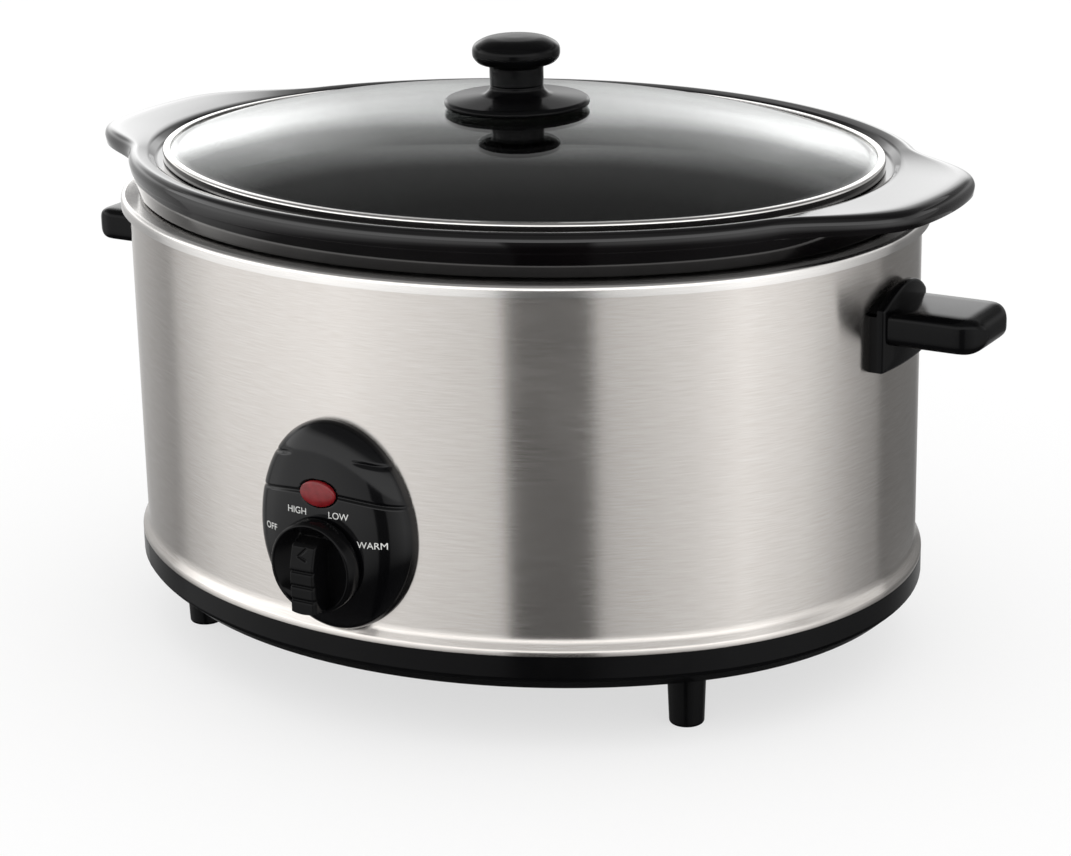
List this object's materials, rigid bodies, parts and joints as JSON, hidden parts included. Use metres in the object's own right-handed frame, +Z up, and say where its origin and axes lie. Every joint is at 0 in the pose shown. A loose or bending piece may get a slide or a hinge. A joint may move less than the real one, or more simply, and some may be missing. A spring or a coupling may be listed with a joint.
{
  "type": "slow cooker",
  "caption": "Oval slow cooker: brushed steel heating base on feet with end handles and a front dial, a lift-out black stoneware crock and a domed glass lid with a knob.",
  "frame": {"origin": "on the floor under the middle of the whole, with the feet standing on z = 0", "axes": "+Z up, +X towards the right handle, the control panel faces -Y"},
  "size_m": [0.42, 0.3132, 0.2486],
  "materials": {
    "brushed_steel": "horizontally brushed stainless steel",
    "liner_steel": "bright pressed aluminised steel",
    "lid_band": "polished stainless steel",
    "plated_steel": "zinc plated steel",
    "black_plastic": "moulded gloss polypropylene",
    "black_phenolic": "moulded gloss phenolic",
    "switch_plastic": "moulded nylon",
    "black_stoneware": "glossy black glaze",
    "lid_glass": "clear tempered glass",
    "lamp_glass": "clear bulb glass",
    "red_lens": "clear red polycarbonate",
    "silicone": "matt silicone",
    "glass_cloth": "woven glass-fibre sleeve",
    "white_ceramic": "unglazed steatite",
    "lead_sleeve": "silicone insulated lead"
  },
  "bodies": {
    "base": {"outer_shell": "brushed_steel", "heating_liner": "liner_steel", "heater_band": "glass_cloth", "heater_strap": "plated_steel", "base_tray": "black_plastic", "liner_pillars": "plated_steel", "base_screws": "plated_steel", "handle_left": "black_phenolic", "handle_right": "black_phenolic", "handle_screws": "plated_steel", "control_panel": "black_plastic", "panel_screws": "plated_steel", "indicator_lens": "red_lens", "indicator_lamp": "lamp_glass", "switch_body": "switch_plastic", "switch_nut": "plated_steel", "thermal_fuse": "plated_steel", "fuse_clip": "plated_steel", "terminal_block": "white_ceramic", "supply_lead": "lead_sleeve", "fuse_lead": "lead_sleeve", "heater_lead": "lead_sleeve", "cord_gland": "black_plastic", "foot_front_left": "black_plastic", "foot_rear_left": "black_plastic", "foot_front_right": "black_plastic", "foot_rear_right": "black_plastic"},
    "crock": {"stoneware_crock": "black_stoneware"},
    "lid": {"lid_glass": "lid_glass", "lid_rim": "lid_band", "lid_gasket": "silicone", "knob_skirt": "black_phenolic", "lid_knob": "black_phenolic", "lid_washer": "plated_steel", "lid_screw": "plated_steel"},
    "control_knob": {"control_knob": "black_phenolic", "switch_shaft": "plated_steel"}
  },
  "joints": [
    {"name": "crock_lift", "type": "slide", "parent": "base", "child": "crock", "axis": [0, 0, 1], "range_m": [0, 0.22]},
    {"name": "lid_lift", "type": "slide", "parent": "crock", "child": "lid", "axis": [0, 0, 1], "range_m": [0, 0.12]},
    {"name": "knob_turn", "type": "hinge", "parent": "base", "child": "control_knob", "pos_m": [0, -0.1436, 0.0725], "axis": [0, -1, 0], "range_deg": [-65, 65]}
  ]
}
